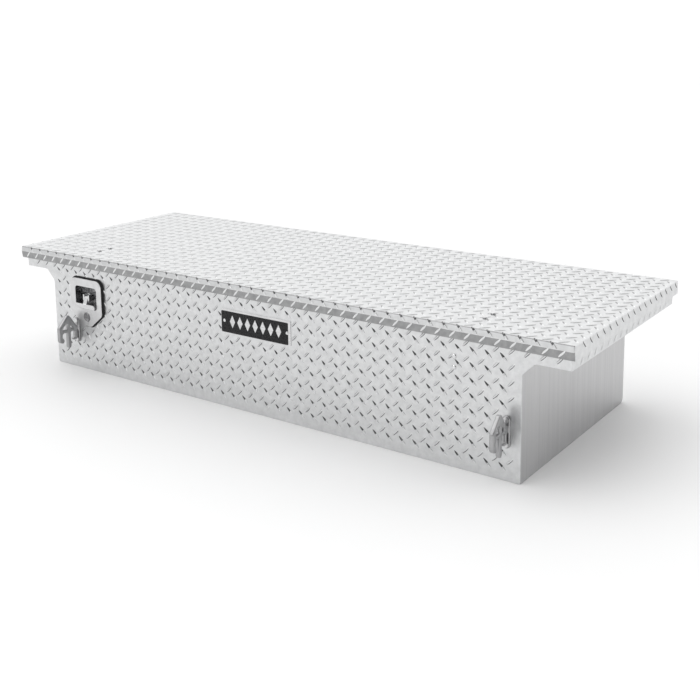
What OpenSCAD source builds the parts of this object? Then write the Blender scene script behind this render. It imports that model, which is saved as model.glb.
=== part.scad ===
// Crossover truck tool box with a single low-profile lid.
// It rests on the truck's bed rails by its two wings, and the tub hangs between them.
// Frame: origin at the middle of the tub's underside, +X along the box, -Y to the front, +Z up.

/* [Box] */
// Length of the tub, over its end panels
tub_l = 1524; // [1200:1:1850]
// Depth of the tub, over its front and rear panels
tub_d = 603; // [500:1:730]
// Overall height, from the tub's underside to the top of the lid
box_h = 343; // [285:1:420]
// Length of each wing, beyond the end panel
wing_l = 115; // [90:1:160]
// Height from a wing's underside to the top of the lid
wing_drop = 62; // [58:1:72]
// How far the rear rail steps out behind the rear panel
rear_step = 17; // [14:1:24]
// Thickness of all sheet
plate_t = 3.2; // [2:0.1:4]
// Width of the lip folded in round the opening
lip_w = 25; // [20:1:40]
// Depth of the lip's turned-down edge
lip_drop = 10; // [6:1:16]
// Size of the rounded web under each wing, at the front
web_size = 30; // [16:1:40]

/* [Lid] */
// Overhang of the lid in front of the front panel
lid_front = 17; // [13:1:24]
// Overhang of the lid beyond each wing
lid_side = 12; // [6:1:20]
// Depth of the lid's skirt
skirt_h = 35; // [30:1:42]
// Depth of the skirt's upper face, above its crease
crease_h = 20; // [12:1:26]
// How far the skirt's edges stand back from its crease
crease_in = 2.5; // [0:0.1:4]
// Height of the rubber seal
seal_h = 8.5; // [6:0.5:12]
// Width of the rubber seal
seal_w = 12; // [8:1:14]
// Number of stiffening channels under the lid
channel_n = 3; // [1:1:4]
// Depth of a stiffening channel
channel_h = 15; // [8:1:20]

/* [Hinge] */
// Distance from each end of the wings to the hinge
hinge_inset = 27; // [15:1:120]
// Number of knuckles, odd so that the box leaf has both ends
knuckle_n = 31; // [11:2:41]
// Radius of the hinge pin
hinge_pin_r = 1.6; // [1.2:0.1:2]
// Outer radius of a knuckle
knuckle_r = 3.2; // [2.8:0.1:3.4]
// Thickness of the hinge leaves
leaf_t = 1.5; // [1:0.1:2]
// How far the lid opens, in degrees
lid_open = 70; // [50:1:75]

/* [Gas struts] */
// Height of the strut's lower stud above the tub's underside
strut_foot = 47; // [30:1:80]
// Angle at the hinge between the strut's two studs, with the lid shut
strut_angle = 70; // [68:1:80]
// Height of the strut's upper stud above the hinge pin
strut_head = 18; // [10:1:22]
// Outer radius of the barrel
barrel_r = 9; // [7:0.5:11]
// Radius of the rod
rod_r = 4; // [3:0.5:5]
// Radius of the studs at both ends
stud_r = 4; // [3:0.5:5]

/* [Lock] */
// Distance from the tub's left end to the middle of the lock
lock_inset = 145; // [100:1:260]
// Depth of the handle's axis below the top of the lid
lock_drop = 124; // [118:1:130]
// Width of the lock pan
pan_w = 128; // [112:1:150]
// Height of the pan above the handle's axis
pan_up = 55; // [50:1:60]
// Depth of the pan below the handle's axis
pan_down = 84; // [78:1:96]
// How far the pan stands off its gasket
pan_t = 7; // [5:0.5:9]
// Thickness of the gasket
gasket_t = 2; // [1:0.5:3]
// Width of the finger pocket
pocket_w = 88; // [84:1:96]
// Height of the finger pocket
pocket_h = 65; // [60:1:72]
// Depth of the finger pocket, from the front panel's outer face
pocket_d = 28; // [26:1:36]
// Length of the T-handle's bar
bar_l = 80; // [60:1:84]
// Turn of the handle that frees both latches, in degrees
handle_turn = 45; // [30:1:50]

/* [Latches] */
// Distance from the tub's right end to the right striker
latch_inset = 125; // [90:1:250]
// Distance of the left striker to the left of the lock
latch_shift = 15; // [10:1:20]
// Distance between a striker's two bolts
striker_gap = 40; // [34:1:50]
// Distance from the front panel to a striker's middle
striker_in = 85.5; // [80:0.5:95]
// Radius of the striker bar
striker_r = 4; // [3:0.5:5]

/* [Fittings] */
// Distance from the middle of the lock to the left tie-down hook
hook_lock_gap = 52; // [52:1:75]
// Distance from the tub's right end to the right tie-down hook
hook_inset_right = 34; // [30:1:80]
// Depth of the hooks' upper bolt below the top of the lid
hook_drop = 200; // [196:1:210]
// Thickness of a hook
hook_t = 12; // [10:1:20]
// Width of the badge plate
badge_w = 230; // [100:1:260]
// Height of the badge plate
badge_h = 64; // [40:1:80]
// Depth of the badge's middle below the top of the lid
badge_drop = 107; // [105:1:150]
// Distance between the two bed-rail bolts in a wing
rail_bolt_gap = 400; // [200:1:440]
// Radius of a bed-rail bolt hole
rail_bolt_r = 5.5; // [4:0.5:7]

/* [Hidden] */
$fn = 48;

// Clearances
run_gap = 0.05;
side_gap = 0.5;
rest_gap = 0.3;
butt_gap = 0.2;

// Faces of the box
front_y = -tub_d / 2;
rear_y = tub_d / 2;
front_in = front_y + plate_t;
rail_y = rear_y + rear_step;
end_x = tub_l / 2;
wing_x = end_x + wing_l;
wing_z = box_h - wing_drop;
lid_under = box_h - plate_t;
rim_z = lid_under - rest_gap - seal_h;
lid_x = wing_x + lid_side;
hinge_gap = 0.7;
lid_rear = plate_t + 2 * (knuckle_r + hinge_gap);
lid_y0 = front_y - lid_front;
lid_y1 = rail_y + lid_rear;
skirt_z = box_h - skirt_h;

// Hinge: the pin runs in the gap between the rear rail and the lid's rear skirt
hinge_y = rail_y + (lid_rear - plate_t) / 2;
hinge_z = skirt_z - knuckle_r - rest_gap;
hinge_l = 2 * (wing_x - hinge_inset);
knuckle_pitch = hinge_l / knuckle_n;
knuckle_bore = hinge_pin_r + run_gap;
leaf_w = 18;
leaf_notch = knuckle_r + 0.4;
hinge_rivet_n = 10;
hinge_rivet_r = 2;
box_rivet_z = hinge_z - 11;
lid_rivet_z = hinge_z + 17;

// Struts: both studs are the same distance from the hinge pin, so strut and rod turn at half the lid's rate
strut_x = end_x - plate_t - 15.3;
head_lean = asin(strut_head / 280);
strut_reach = (hinge_z - strut_foot) / sin(strut_angle - head_lean);
head_angle = asin(strut_head / strut_reach);
foot_angle = 180 - head_angle + strut_angle;
head_y = hinge_y - strut_reach * cos(head_angle);
head_z = hinge_z + strut_head;
foot_y = hinge_y + strut_reach * cos(foot_angle);
foot_z = hinge_z + strut_reach * sin(foot_angle);
strut_shut = 2 * strut_reach * sin(strut_angle / 2);
strut_long = 2 * strut_reach * sin((strut_angle + lid_open) / 2);
strut_lean = atan2(head_y - foot_y, head_z - foot_z);
barrel_start = 0.068 * strut_shut;
barrel_end = 0.826 * strut_shut;
barrel_wall = 4;
gland_l = 12;
rod_l = strut_long - barrel_end + 20;
barrel_bore = barrel_r - 1.5;
eye_r = 8;
eye_w = 10;
stud_head_r = 6;
stud_collar_r = 7;
bracket_t = 3;

// Lock
lock_x = -end_x + lock_inset;
lock_z = box_h - lock_drop;
gasket_y = front_y - gasket_t;
pan_y = gasket_y - pan_t;
pan_shoulder = 46;
pan_tip_w = 34;
pan_edge = 4;
cup_wall = 1.5;
cup_y = front_y + pocket_d;
cup_gap = 0.5;
pocket_r = 9;
spindle_r = 7;
key_drop = 57;
key_head_r = 14;
key_head_t = 5;
key_r = 8;
key_boss_r = 12;
key_boss_l = 26;
stud_x = 50;
stud_up = 42;
stud_down = 39;
lock_stud_r = 3;
lock_nut_r = 5.5;
lock_nut_t = 5;
backing_t = 3;

// Handle
pivot_y = front_y - 3.5;
ear_gap = 15;
ear_t = 5;
ear_h = 18;
pin_r = 2.5;
tongue_w = ear_gap - 2 * rest_gap;
tongue_r = 5;
bar_y = pan_y - 0.4;
bar_t = 7;
bar_h = 14;
bar_drop = 24;
hub_y = pivot_y + 6;
hub_r = 11;
hub_t = cup_y - 4 - hub_y;

// Release linkage: cam arm and pawl arms swing evenly about the vertical
cam_y = cup_y + 11;
cam_t = 4;
cam_r = 24;
cam_rest = handle_turn / 2;
rod_travel = 2 * cam_r * sin(handle_turn / 2);
link_pin_r = 3;
slot_z = lock_z + cam_r * (1 + cos(cam_rest)) / 2;
tab_y = cam_y + cam_t + 4;
tab_t = 3;
tab_w = 18;
pull_r = 4;
pull_y = tab_y + tab_t / 2;
pull_z = slot_z + 11;
slot_slack = 1.8;

// Latches
striker_y = front_y + striker_in;
striker_z = box_h - 37;
striker_bolt_r = 3;
striker_plate_t = 3;
striker_grip = 8;
left_striker_x = lock_x - latch_shift;
right_striker_x = end_x - latch_inset;
claw_t = 4;
claw_y = striker_y - striker_gap / 2 + striker_r + 4;
cheek_t = 2.6;
claw_dx = 16;
claw_dz = -10;
claw_in_r = 24;
claw_out_r = 31;
claw_pin_r = 4;
heel_r = 13;
pawl_dx = claw_dx + 14;
pawl_dz = claw_dz - 18;
pawl_pin_r = 3;
pawl_arm = striker_z + pawl_dz - slot_z;
shelf_z = striker_z - 39;
shelf_t = 3;
latch_back = 28;
latch_ahead = 52;
latch_rivet_x = right_striker_x - 42;
front_rivet_r = 2.4;

// Tie-down hooks
hook_z = box_h - hook_drop;
hook_base_w = 20;
hook_base_t = 5;
hook_bolt_gap = 56;
hook_bolt_r = 4;
hook_bar = 12;
post_off = 37;
prong_off = 67;

// Badge
badge_x = 15;
badge_z = box_h - badge_drop;
badge_t = 1.6;
badge_rivet_dx = badge_w / 2 - 11;

// ---------- shared shapes ----------

function unit(v) = v / norm(v);
function turn_between(a, b) = (b - a > 180) ? b - a - 360 : (b - a < -180) ? b - a + 360 : b - a;
function polar(a) = [cos(a), sin(a)];
function arc(c, r, a0, a1, n) = [for (i = [0:n]) c + r * polar(a0 + (a1 - a0) * i / n)];

// Points that round the corner at q, between p and s
function corner(p, q, s, r, n) =
    let (
        a = unit(p - q),
        b = unit(s - q),
        half = acos(a * b) / 2,
        c = q + unit(a + b) * r / sin(half),
        t0 = q + a * r / tan(half) - c,
        t1 = q + b * r / tan(half) - c,
        a0 = atan2(t0[1], t0[0]),
        a1 = atan2(t1[1], t1[0])
    )
    r == 0 ? [q] : arc(c, r, a0, a0 + turn_between(a0, a1), n);

// Outline with each corner rounded by its own radius
function rounded(pts, radii, n = 6) =
    let (m = len(pts))
    [for (i = [0:m - 1]) each corner(pts[(i + m - 1) % m], pts[i], pts[(i + 1) % m], radii[i], n)];

function rect_pts(x0, z0, x1, z1) = [[x0, z0], [x1, z0], [x1, z1], [x0, z1]];

// Corners of a rectangle of that width and height about a middle point
function middle_rect(x, z, w, h) = rect_pts(x - w / 2, z - h / 2, x + w / 2, z + h / 2);

// Extrudes an outline drawn in X and Z, from y0 back by t
module slab_xz(y0, t) {
    translate([0, y0 + t, 0])
        rotate([90, 0, 0])
            linear_extrude(t)
                children();
}

// Extrudes an outline drawn in Y and Z, from x0 to the right by t
module slab_yz(x0, t) {
    translate([x0, 0, 0])
        rotate([90, 0, 90])
            linear_extrude(t)
                children();
}

module block(x0, y0, z0, x1, y1, z1) {
    translate([x0, y0, z0])
        cube([x1 - x0, y1 - y0, z1 - z0]);
}

module rod_x(x0, x1, y, z, r) {
    translate([x0, y, z])
        rotate([0, 90, 0])
            cylinder(h = x1 - x0, r = r);
}

module rod_y(x, y0, y1, z, r) {
    translate([x, y0, z])
        rotate([-90, 0, 0])
            cylinder(h = y1 - y0, r = r);
}

module rod_z(x, y, z0, z1, r) {
    translate([x, y, z0])
        cylinder(h = z1 - z0, r = r);
}

// Shallow domed head whose flat side lies on the plane y = 0, bulging to -Y
module dome_y(x, y, z, r, h) {
    translate([x, y, z])
        rotate([90, 0, 0])
            rotate_extrude()
                polygon(concat([[0, 0]], [for (a = [0:15:90]) [r * cos(a), h * sin(a)]]));
}

// Places children for the left end by mirroring the right end
module at_end(side) {
    if (side < 0)
        mirror([1, 0, 0])
            children();
    else
        children();
}

// ---------- tub ----------

module pan_outline(grow) {
    half = pan_w / 2 + grow;
    top = lock_z + pan_up + grow;
    shoulder = lock_z - pan_shoulder;
    tip = lock_z - pan_down - grow;
    tip_half = pan_tip_w / 2;
    polygon(rounded(
        [[lock_x - half, top], [lock_x - half, shoulder], [lock_x - tip_half, tip],
         [lock_x + tip_half, tip], [lock_x + half, shoulder], [lock_x + half, top]],
        [20 + grow, 14, 12, 12, 14, 20 + grow]
    ));
}

module pocket_outline(grow) {
    half_w = pocket_w / 2 + grow;
    half_h = pocket_h / 2 + grow;
    r = pocket_r + grow;
    polygon(rounded(
        rect_pts(lock_x - half_w, lock_z - half_h, lock_x + half_w, lock_z + half_h),
        [r, r, r, r]
    ));
}

// Clearance holes for the pan's studs through whatever lies behind it
module stud_holes(y0, t, rows) {
    for (side = [-1, 1])
        for (dz = rows)
            rod_y(lock_x + side * stud_x, y0 - 1, y0 + t + 1, lock_z + dz, lock_stud_r + 0.2);
}

module lock_opening(y0, t) {
    slab_xz(y0 - 1, t + 2)
        pocket_outline(cup_wall + cup_gap);
    rod_y(lock_x, y0 - 1, y0 + t + 1, lock_z - key_drop, key_boss_r + cup_gap);
}

function hook_xs() = [lock_x - hook_lock_gap, end_x - hook_inset_right];
function hook_bolt_zs() = [hook_z, hook_z - hook_bolt_gap];
function badge_rivet_xs() = [badge_x - badge_rivet_dx, badge_x + badge_rivet_dx];
function latch_rivet_zs() = [shelf_z - 4, shelf_z - 30];

module front_panel() {
    low = wing_z - web_size;
    color("gainsboro")
        difference() {
            slab_xz(front_y, plate_t)
                polygon(rounded(
                    [[-end_x, 0], [end_x, 0], [end_x, low], [end_x + web_size, wing_z],
                     [wing_x, wing_z], [wing_x, rim_z], [-wing_x, rim_z], [-wing_x, wing_z],
                     [-end_x - web_size, wing_z], [-end_x, low]],
                    [6, 6, 12, 12, 0, 0, 0, 0, 12, 12]
                ));
            lock_opening(front_y, plate_t);
            stud_holes(front_y, plate_t, [stud_up, -stud_down]);
            for (x = hook_xs())
                for (z = hook_bolt_zs())
                    rod_y(x, front_y - 1, front_in + 1, z, hook_bolt_r);
            for (z = latch_rivet_zs())
                rod_y(latch_rivet_x, front_y - 1, front_in + 1, z, front_rivet_r);
            for (x = badge_rivet_xs())
                rod_y(x, front_y - 1, front_in + 1, badge_z, front_rivet_r);
        }
}

module rear_panel() {
    color("gainsboro")
        block(-end_x + plate_t, rear_y - plate_t, 0, end_x - plate_t, rear_y, wing_z);
}

module floor_panel() {
    color("gainsboro")
        block(-end_x + plate_t, front_in, 0, end_x - plate_t, rear_y - plate_t, plate_t);
}

module end_panel(side) {
    color("silver")
        at_end(side)
            slab_yz(end_x - plate_t, plate_t)
                polygon(rounded(
                    [[front_in, 0], [rear_y, 0], [rear_y, wing_z], [rear_y - plate_t, wing_z],
                     [rear_y - plate_t, wing_z + plate_t], [front_in, wing_z + plate_t]],
                    [0, 14, 0, 0, 0, 0]
                ));
}

module left_end_panel() { end_panel(-1); }
module right_end_panel() { end_panel(1); }

module wing(side) {
    color("gainsboro")
        at_end(side)
            difference() {
                union() {
                    block(end_x, front_in, wing_z, wing_x, rear_y - plate_t, wing_z + plate_t);
                    block(wing_x - plate_t, front_in, wing_z + plate_t, wing_x, rail_y - plate_t, rim_z);
                }
                for (y = [-1, 1] * rail_bolt_gap / 2)
                    rod_z(end_x + wing_l / 2, y, wing_z - 1, wing_z + plate_t + 1, rail_bolt_r);
            }
}

module left_wing() { wing(-1); }
module right_wing() { wing(1); }

function hinge_rivet_xs() =
    [for (i = [0:hinge_rivet_n - 1]) hinge_l * ((i + 0.5) / hinge_rivet_n - 0.5)];

module rear_rail() {
    color("gainsboro")
        difference() {
            union() {
                block(-wing_x, rear_y - plate_t, wing_z, wing_x, rail_y, wing_z + plate_t);
                block(-wing_x, rail_y - plate_t, wing_z + plate_t, wing_x, rail_y, rim_z);
            }
            for (x = hinge_rivet_xs())
                rod_y(x, rail_y - plate_t - 1, rail_y + 1, box_rivet_z, hinge_rivet_r);
        }
}

// Square ring between two inset rectangles of the opening
module opening_ring(out, inside, z0, z1) {
    x = wing_x - plate_t;
    y1 = rail_y - plate_t;
    difference() {
        block(-x + out, front_in + out, z0, x - out, y1 - out, z1);
        block(-x + inside, front_in + inside, z0 - 1, x - inside, y1 - inside, z1 + 1);
    }
}

module opening_frame() {
    color("lightgray") {
        opening_ring(0, lip_w, rim_z - plate_t, rim_z);
        opening_ring(lip_w - plate_t, lip_w, rim_z - plate_t - lip_drop, rim_z - plate_t);
    }
}

// Four lengths of rubber, butted at the corners
module lid_seal() {
    inset = (lip_w - seal_w) / 2;
    x = wing_x - plate_t - inset;
    y0 = front_in + inset;
    y1 = rail_y - plate_t - inset;
    color("#202020") {
        for (y = [y0, y1 - seal_w])
            block(-x, y, rim_z, x, y + seal_w, rim_z + seal_h);
        for (side = [-1, 1])
            at_end(side)
                block(x - seal_w, y0 + seal_w + butt_gap, rim_z, x, y1 - seal_w - butt_gap, rim_z + seal_h);
    }
}

// ---------- hinge ----------

module knuckles(first) {
    for (i = [first:2:knuckle_n - 1])
        rod_x(
            -hinge_l / 2 + i * knuckle_pitch + rest_gap / 2,
            -hinge_l / 2 + (i + 1) * knuckle_pitch - rest_gap / 2,
            hinge_y, hinge_z, knuckle_r
        );
}

// Leaf plate with a tab at each of its own knuckles
module leaf(first, y0, z_far, z_near) {
    low = min(z_far, z_near);
    high = max(z_far, z_near);
    block(-hinge_l / 2, y0, low, hinge_l / 2, y0 + leaf_t, high);
    for (i = [first:2:knuckle_n - 1])
        block(
            -hinge_l / 2 + i * knuckle_pitch + rest_gap / 2, y0, min(z_near, hinge_z),
            -hinge_l / 2 + (i + 1) * knuckle_pitch - rest_gap / 2, y0 + leaf_t, max(z_near, hinge_z)
        );
}

module hinge_bore() {
    rod_x(-hinge_l / 2 - 1, hinge_l / 2 + 1, hinge_y, hinge_z, knuckle_bore);
}

module hinge_leaf_box() {
    color("silver")
        difference() {
            union() {
                knuckles(0);
                leaf(0, rail_y, hinge_z - leaf_w, hinge_z - leaf_notch);
            }
            hinge_bore();
            for (x = hinge_rivet_xs())
                rod_y(x, rail_y - 1, rail_y + leaf_t + 1, box_rivet_z, hinge_rivet_r);
        }
}

module hinge_leaf_lid() {
    color("silver")
        difference() {
            union() {
                knuckles(1);
                leaf(1, lid_y1 - plate_t - leaf_t, hinge_z + leaf_w + 8, hinge_z + leaf_notch);
            }
            hinge_bore();
            for (x = hinge_rivet_xs())
                rod_y(x, lid_y1 - plate_t - leaf_t - 1, lid_y1, lid_rivet_z, hinge_rivet_r);
        }
}

module hinge_pin() {
    color("dimgray") {
        rod_x(-hinge_l / 2 - 1, hinge_l / 2 + 1, hinge_y, hinge_z, hinge_pin_r);
        for (x = [-hinge_l / 2 - 2, hinge_l / 2 + 1])
            rod_x(x, x + 1, hinge_y, hinge_z, knuckle_r - 0.5);
    }
}

// Rivet through y0 to y1, a round head at each end
module rivet_y(x, y0, y1, z, r, front_h, rear_h) {
    rod_y(x, y0, y1, z, r);
    rod_y(x, y0 - front_h, y0, z, 2 * r);
    rod_y(x, y1, y1 + rear_h, z, 2 * r);
}

module hinge_rivets_box() {
    color("lightgray")
        for (x = hinge_rivet_xs())
            rivet_y(x, rail_y - plate_t, rail_y + leaf_t, box_rivet_z, hinge_rivet_r, 1.5, 1);
}

module hinge_rivets_lid() {
    color("lightgray")
        for (x = hinge_rivet_xs())
            rivet_y(x, lid_y1 - plate_t - leaf_t, lid_y1, lid_rivet_z, hinge_rivet_r, 1, 1.5);
}

// ---------- lid ----------

module lid_skin() {
    crease_z = box_h - crease_h;
    side_y0 = lid_y0 + crease_in;
    color("gainsboro")
        difference() {
            union() {
                block(-lid_x, lid_y0 + crease_in, lid_under, lid_x, lid_y1, box_h);
                slab_yz(-lid_x, 2 * lid_x)
                    polygon([
                        [lid_y0 + crease_in, box_h], [lid_y0, crease_z], [lid_y0 + crease_in, skirt_z],
                        [lid_y0 + crease_in + plate_t, skirt_z], [lid_y0 + plate_t, crease_z],
                        [lid_y0 + crease_in + plate_t, lid_under], [lid_y0 + crease_in + plate_t, box_h]
                    ]);
                for (x = [-lid_x, lid_x - plate_t])
                    block(x, side_y0, skirt_z, x + plate_t, lid_y1, lid_under);
                block(-lid_x + plate_t, lid_y1 - plate_t, skirt_z, lid_x - plate_t, lid_y1, lid_under);
            }
            for (x = hinge_rivet_xs())
                rod_y(x, lid_y1 - plate_t - 1, lid_y1 + 1, lid_rivet_z, hinge_rivet_r);
            for (x = [left_striker_x, right_striker_x])
                for (side = [-1, 1])
                    rod_z(x, striker_y + side * striker_gap / 2, lid_under - 1, box_h + 1, striker_bolt_r);
        }
}

// Hat-section channels, open side up against the lid
module lid_stiffeners() {
    channel_l = 2 * (end_x - 70);
    wall = 1.5;
    flange = 12;
    channel_w = 36;
    low = lid_under - channel_h;
    first = striker_y + striker_gap / 2 + 60;
    pitch = (rear_y - 90 - first) / max(1, channel_n - 1);
    color("lightgray")
        for (i = [0:channel_n - 1]) {
            y = first + i * pitch;
            difference() {
                block(-channel_l / 2, y - channel_w / 2, low, channel_l / 2, y + channel_w / 2, lid_under);
                block(-channel_l / 2 - 1, y - channel_w / 2 + wall, low + wall,
                      channel_l / 2 + 1, y + channel_w / 2 - wall, lid_under + 1);
            }
            for (side = [-1, 1]) {
                y0 = y + side * (channel_w + flange) / 2 - flange / 2;
                block(-channel_l / 2, y0, lid_under - wall, channel_l / 2, y0 + flange, lid_under);
            }
        }
}

module striker(x) {
    leg_z = lid_under - striker_plate_t;
    half = striker_gap / 2;
    bar = half + striker_r;
    foot = half + 10;
    color("silver")
        difference() {
            union() {
                block(x - 14, striker_y - foot, leg_z, x + 14, striker_y + foot, lid_under);
                for (y = [striker_y - half, striker_y + half])
                    rod_z(x, y, striker_z, leg_z, striker_r);
                rod_y(x, striker_y - bar, striker_y + bar, striker_z, striker_r);
            }
            for (y = [striker_y - half, striker_y + half])
                rod_z(x, y, leg_z - striker_grip - 1, lid_under + 1, striker_bolt_r);
        }
}

module striker_left() { striker(left_striker_x); }
module striker_right() { striker(right_striker_x); }

// Screws down through the lid into the striker's legs
module striker_bolts() {
    color("silver")
        for (x = [left_striker_x, right_striker_x])
            for (side = [-1, 1]) {
                y = striker_y + side * striker_gap / 2;
                rod_z(x, y, lid_under - striker_plate_t - striker_grip, box_h, striker_bolt_r);
                rod_z(x, y, box_h, box_h + 2, 2 * striker_bolt_r);
            }
}

// ---------- gas struts ----------

// Stud with a collar at the bracket and a head past the eye
module strut_stud(y, z, x_plate) {
    eye_out = strut_x + eye_w / 2 + side_gap;
    eye_in = strut_x - eye_w / 2 - side_gap;
    rod_x(eye_in - 1, x_plate, y, z, stud_r);
    rod_x(eye_out, x_plate, y, z, stud_collar_r);
    rod_x(eye_in - 4, eye_in, y, z, stud_head_r);
}

module strut_foot_bracket(side) {
    inner = end_x - plate_t;
    color("dimgray")
        at_end(side) {
            slab_yz(inner - bracket_t, bracket_t)
                polygon(rounded(rect_pts(foot_y - 22, foot_z - 30, foot_y + 22, foot_z + 30), [6, 6, 6, 6]));
            strut_stud(foot_y, foot_z, inner - bracket_t);
        }
}

module strut_foot_left() { strut_foot_bracket(-1); }
module strut_foot_right() { strut_foot_bracket(1); }

module strut_head_bracket(side) {
    plate_x = strut_x + eye_w / 2 + side_gap + 2;
    flange_x = plate_x + bracket_t;
    half = 15;
    color("dimgray")
        at_end(side) {
            block(plate_x, head_y - half, head_z - 10, flange_x, head_y + half, lid_under);
            block(flange_x, head_y - half, lid_under - bracket_t, plate_x + 30, head_y + half, lid_under);
            strut_stud(head_y, head_z, plate_x);
        }
}

module strut_head_left() { strut_head_bracket(-1); }
module strut_head_right() { strut_head_bracket(1); }

// Puts a shape drawn along +Z from the lower stud on the strut's line
module on_strut(side) {
    translate([side * strut_x, foot_y, foot_z])
        rotate([-strut_lean, 0, 0])
            children();
}

module strut_barrel(side) {
    color("#222222")
        on_strut(side)
            difference() {
                union() {
                    rod_x(-eye_w / 2, eye_w / 2, 0, 0, eye_r);
                    rod_z(0, 0, eye_r - 2, barrel_start, 5);
                    rod_z(0, 0, barrel_start, barrel_end, barrel_r);
                }
                rod_x(-eye_w, eye_w, 0, 0, stud_r + run_gap);
                rod_z(0, 0, barrel_start + barrel_wall, barrel_end - gland_l, barrel_bore);
                rod_z(0, 0, barrel_start + barrel_wall, barrel_end + 1, rod_r + run_gap);
            }
}

module strut_barrel_left() { strut_barrel(-1); }
module strut_barrel_right() { strut_barrel(1); }

module strut_rod(side) {
    color("silver")
        on_strut(side)
            translate([0, 0, strut_shut])
                difference() {
                    union() {
                        rod_x(-eye_w / 2, eye_w / 2, 0, 0, eye_r);
                        rod_z(0, 0, -20, 2 - eye_r, 5.5);
                        rod_z(0, 0, -rod_l, -19, rod_r);
                        rod_z(0, 0, -rod_l, -rod_l + 8, barrel_bore - run_gap);
                    }
                    rod_x(-eye_w, eye_w, 0, 0, stud_r + run_gap);
                }
}

module strut_rod_left() { strut_rod(-1); }
module strut_rod_right() { strut_rod(1); }

// ---------- lock ----------

module lock_pan() {
    color("silver")
        difference() {
            union() {
                slab_xz(pan_y, pan_t)
                    pan_outline(0);
                slab_xz(gasket_y, cup_y + cup_wall - gasket_y)
                    pocket_outline(cup_wall);
                rod_y(lock_x, gasket_y, front_y + key_boss_l, lock_z - key_drop, key_boss_r);
                rod_y(lock_x, cup_y, cup_y + 8, lock_z, spindle_r + 4);
                for (side = [-1, 1])
                    for (dz = [stud_up, -stud_down])
                        rod_y(lock_x + side * stud_x, gasket_y, front_in + 13, lock_z + dz, lock_stud_r);
            }
            slab_xz(pan_y - 1, cup_y - pan_y + 1)
                pocket_outline(0);
            rod_y(lock_x, cup_y - 1, cup_y + 9, lock_z, spindle_r + run_gap);
            rod_y(lock_x, pan_y - 1, pan_y + key_head_t, lock_z - key_drop, key_head_r + run_gap);
            rod_y(lock_x, pan_y, front_y + key_boss_l + 1, lock_z - key_drop, key_r + run_gap);
        }
}

module lock_gasket() {
    color("#1c1c1c")
        difference() {
            slab_xz(gasket_y, gasket_t)
                pan_outline(pan_edge);
            lock_opening(gasket_y, gasket_t);
            stud_holes(gasket_y, gasket_t, [stud_up, -stud_down]);
        }
}

module lock_backing_plate() {
    half = stud_x + 10;
    key_half = key_boss_r + 14;
    top = lock_z + stud_up + 7;
    shoulder = lock_z - stud_down - 10;
    low = lock_z - key_drop - key_boss_r - 7;
    color("darkgray")
        difference() {
            slab_xz(front_in, backing_t)
                polygon([
                    [lock_x - half, top], [lock_x - half, shoulder], [lock_x - key_half, low],
                    [lock_x + key_half, low], [lock_x + half, shoulder], [lock_x + half, top]
                ]);
            lock_opening(front_in, backing_t);
            stud_holes(front_in, backing_t, [stud_up, -stud_down]);
        }
}

module hex_nut(x, y0, z, r, bore) {
    difference() {
        translate([x, y0, z])
            rotate([-90, 0, 0])
                cylinder(h = lock_nut_t, r = r, $fn = 6);
        rod_y(x, y0 - 1, y0 + lock_nut_t + 1, z, bore);
    }
}

module lock_nuts() {
    color("silver")
        for (x = [lock_x - stud_x, lock_x + stud_x]) {
            hex_nut(x, front_in + 2 * backing_t, lock_z + stud_up, lock_nut_r, lock_stud_r);
            hex_nut(x, front_in + backing_t, lock_z - stud_down, lock_nut_r, lock_stud_r);
        }
}

module lock_spindle() {
    ear_root = hub_y + hub_t / 2;
    color("silver")
        difference() {
            union() {
                rod_y(lock_x, hub_y, hub_y + hub_t, lock_z, hub_r);
                rod_y(lock_x, hub_y + hub_t, cam_y + cam_t + 7, lock_z, spindle_r);
                for (x = [lock_x - ear_gap / 2 - ear_t, lock_x + ear_gap / 2])
                    block(x, pivot_y - 5, lock_z - ear_h / 2, x + ear_t, ear_root, lock_z + ear_h / 2);
            }
            rod_x(lock_x - ear_gap, lock_x + ear_gap, pivot_y, lock_z, pin_r);
        }
}

module handle_pin() {
    color("dimgray")
        rod_x(lock_x - ear_gap / 2 - ear_t, lock_x + ear_gap / 2 + ear_t, pivot_y, lock_z, pin_r);
}

module t_handle() {
    bar_top = lock_z - bar_drop + bar_h / 2;
    color("silver")
        difference() {
            union() {
                rod_x(lock_x - tongue_w / 2, lock_x + tongue_w / 2, pivot_y, lock_z, tongue_r);
                slab_yz(lock_x - tongue_w / 2, tongue_w)
                    polygon([
                        [pivot_y + tongue_r * 0.6, lock_z - tongue_r * 0.8], [pivot_y - tongue_r, lock_z],
                        [bar_y - bar_t, bar_top - 2], [bar_y - bar_t, bar_top - bar_h / 2],
                        [bar_y, bar_top - bar_h / 2], [bar_y, bar_top]
                    ]);
                slab_xz(bar_y - bar_t, bar_t)
                    polygon(rounded(
                        rect_pts(lock_x - bar_l / 2, bar_top - bar_h, lock_x + bar_l / 2, bar_top),
                        [5, 5, 5, 5]
                    ));
            }
            rod_x(lock_x - ear_gap, lock_x + ear_gap, pivot_y, lock_z, pin_r + run_gap);
        }
}

module key_plug() {
    z = lock_z - key_drop;
    color("silver")
        difference() {
            union() {
                rod_y(lock_x, pan_y + side_gap, pan_y + key_head_t - rest_gap, z, key_head_r);
                rod_y(lock_x, pan_y + key_head_t - 1, front_y + key_boss_l + 8, z, key_r);
            }
            block(lock_x - 0.8, pan_y - 2, z - 5, lock_x + 0.8, pan_y + 6, z + 5);
        }
}

module key_cam() {
    z = lock_z - key_drop;
    y0 = front_y + key_boss_l + 1;
    color("darkgray")
        difference() {
            slab_xz(y0, 4)
                polygon(rounded(rect_pts(lock_x - 13, z - 13, lock_x + 34, z + 13), [12, 8, 8, 12]));
            rod_y(lock_x, y0 - 1, y0 + 5, z, key_r);
        }
}

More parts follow.
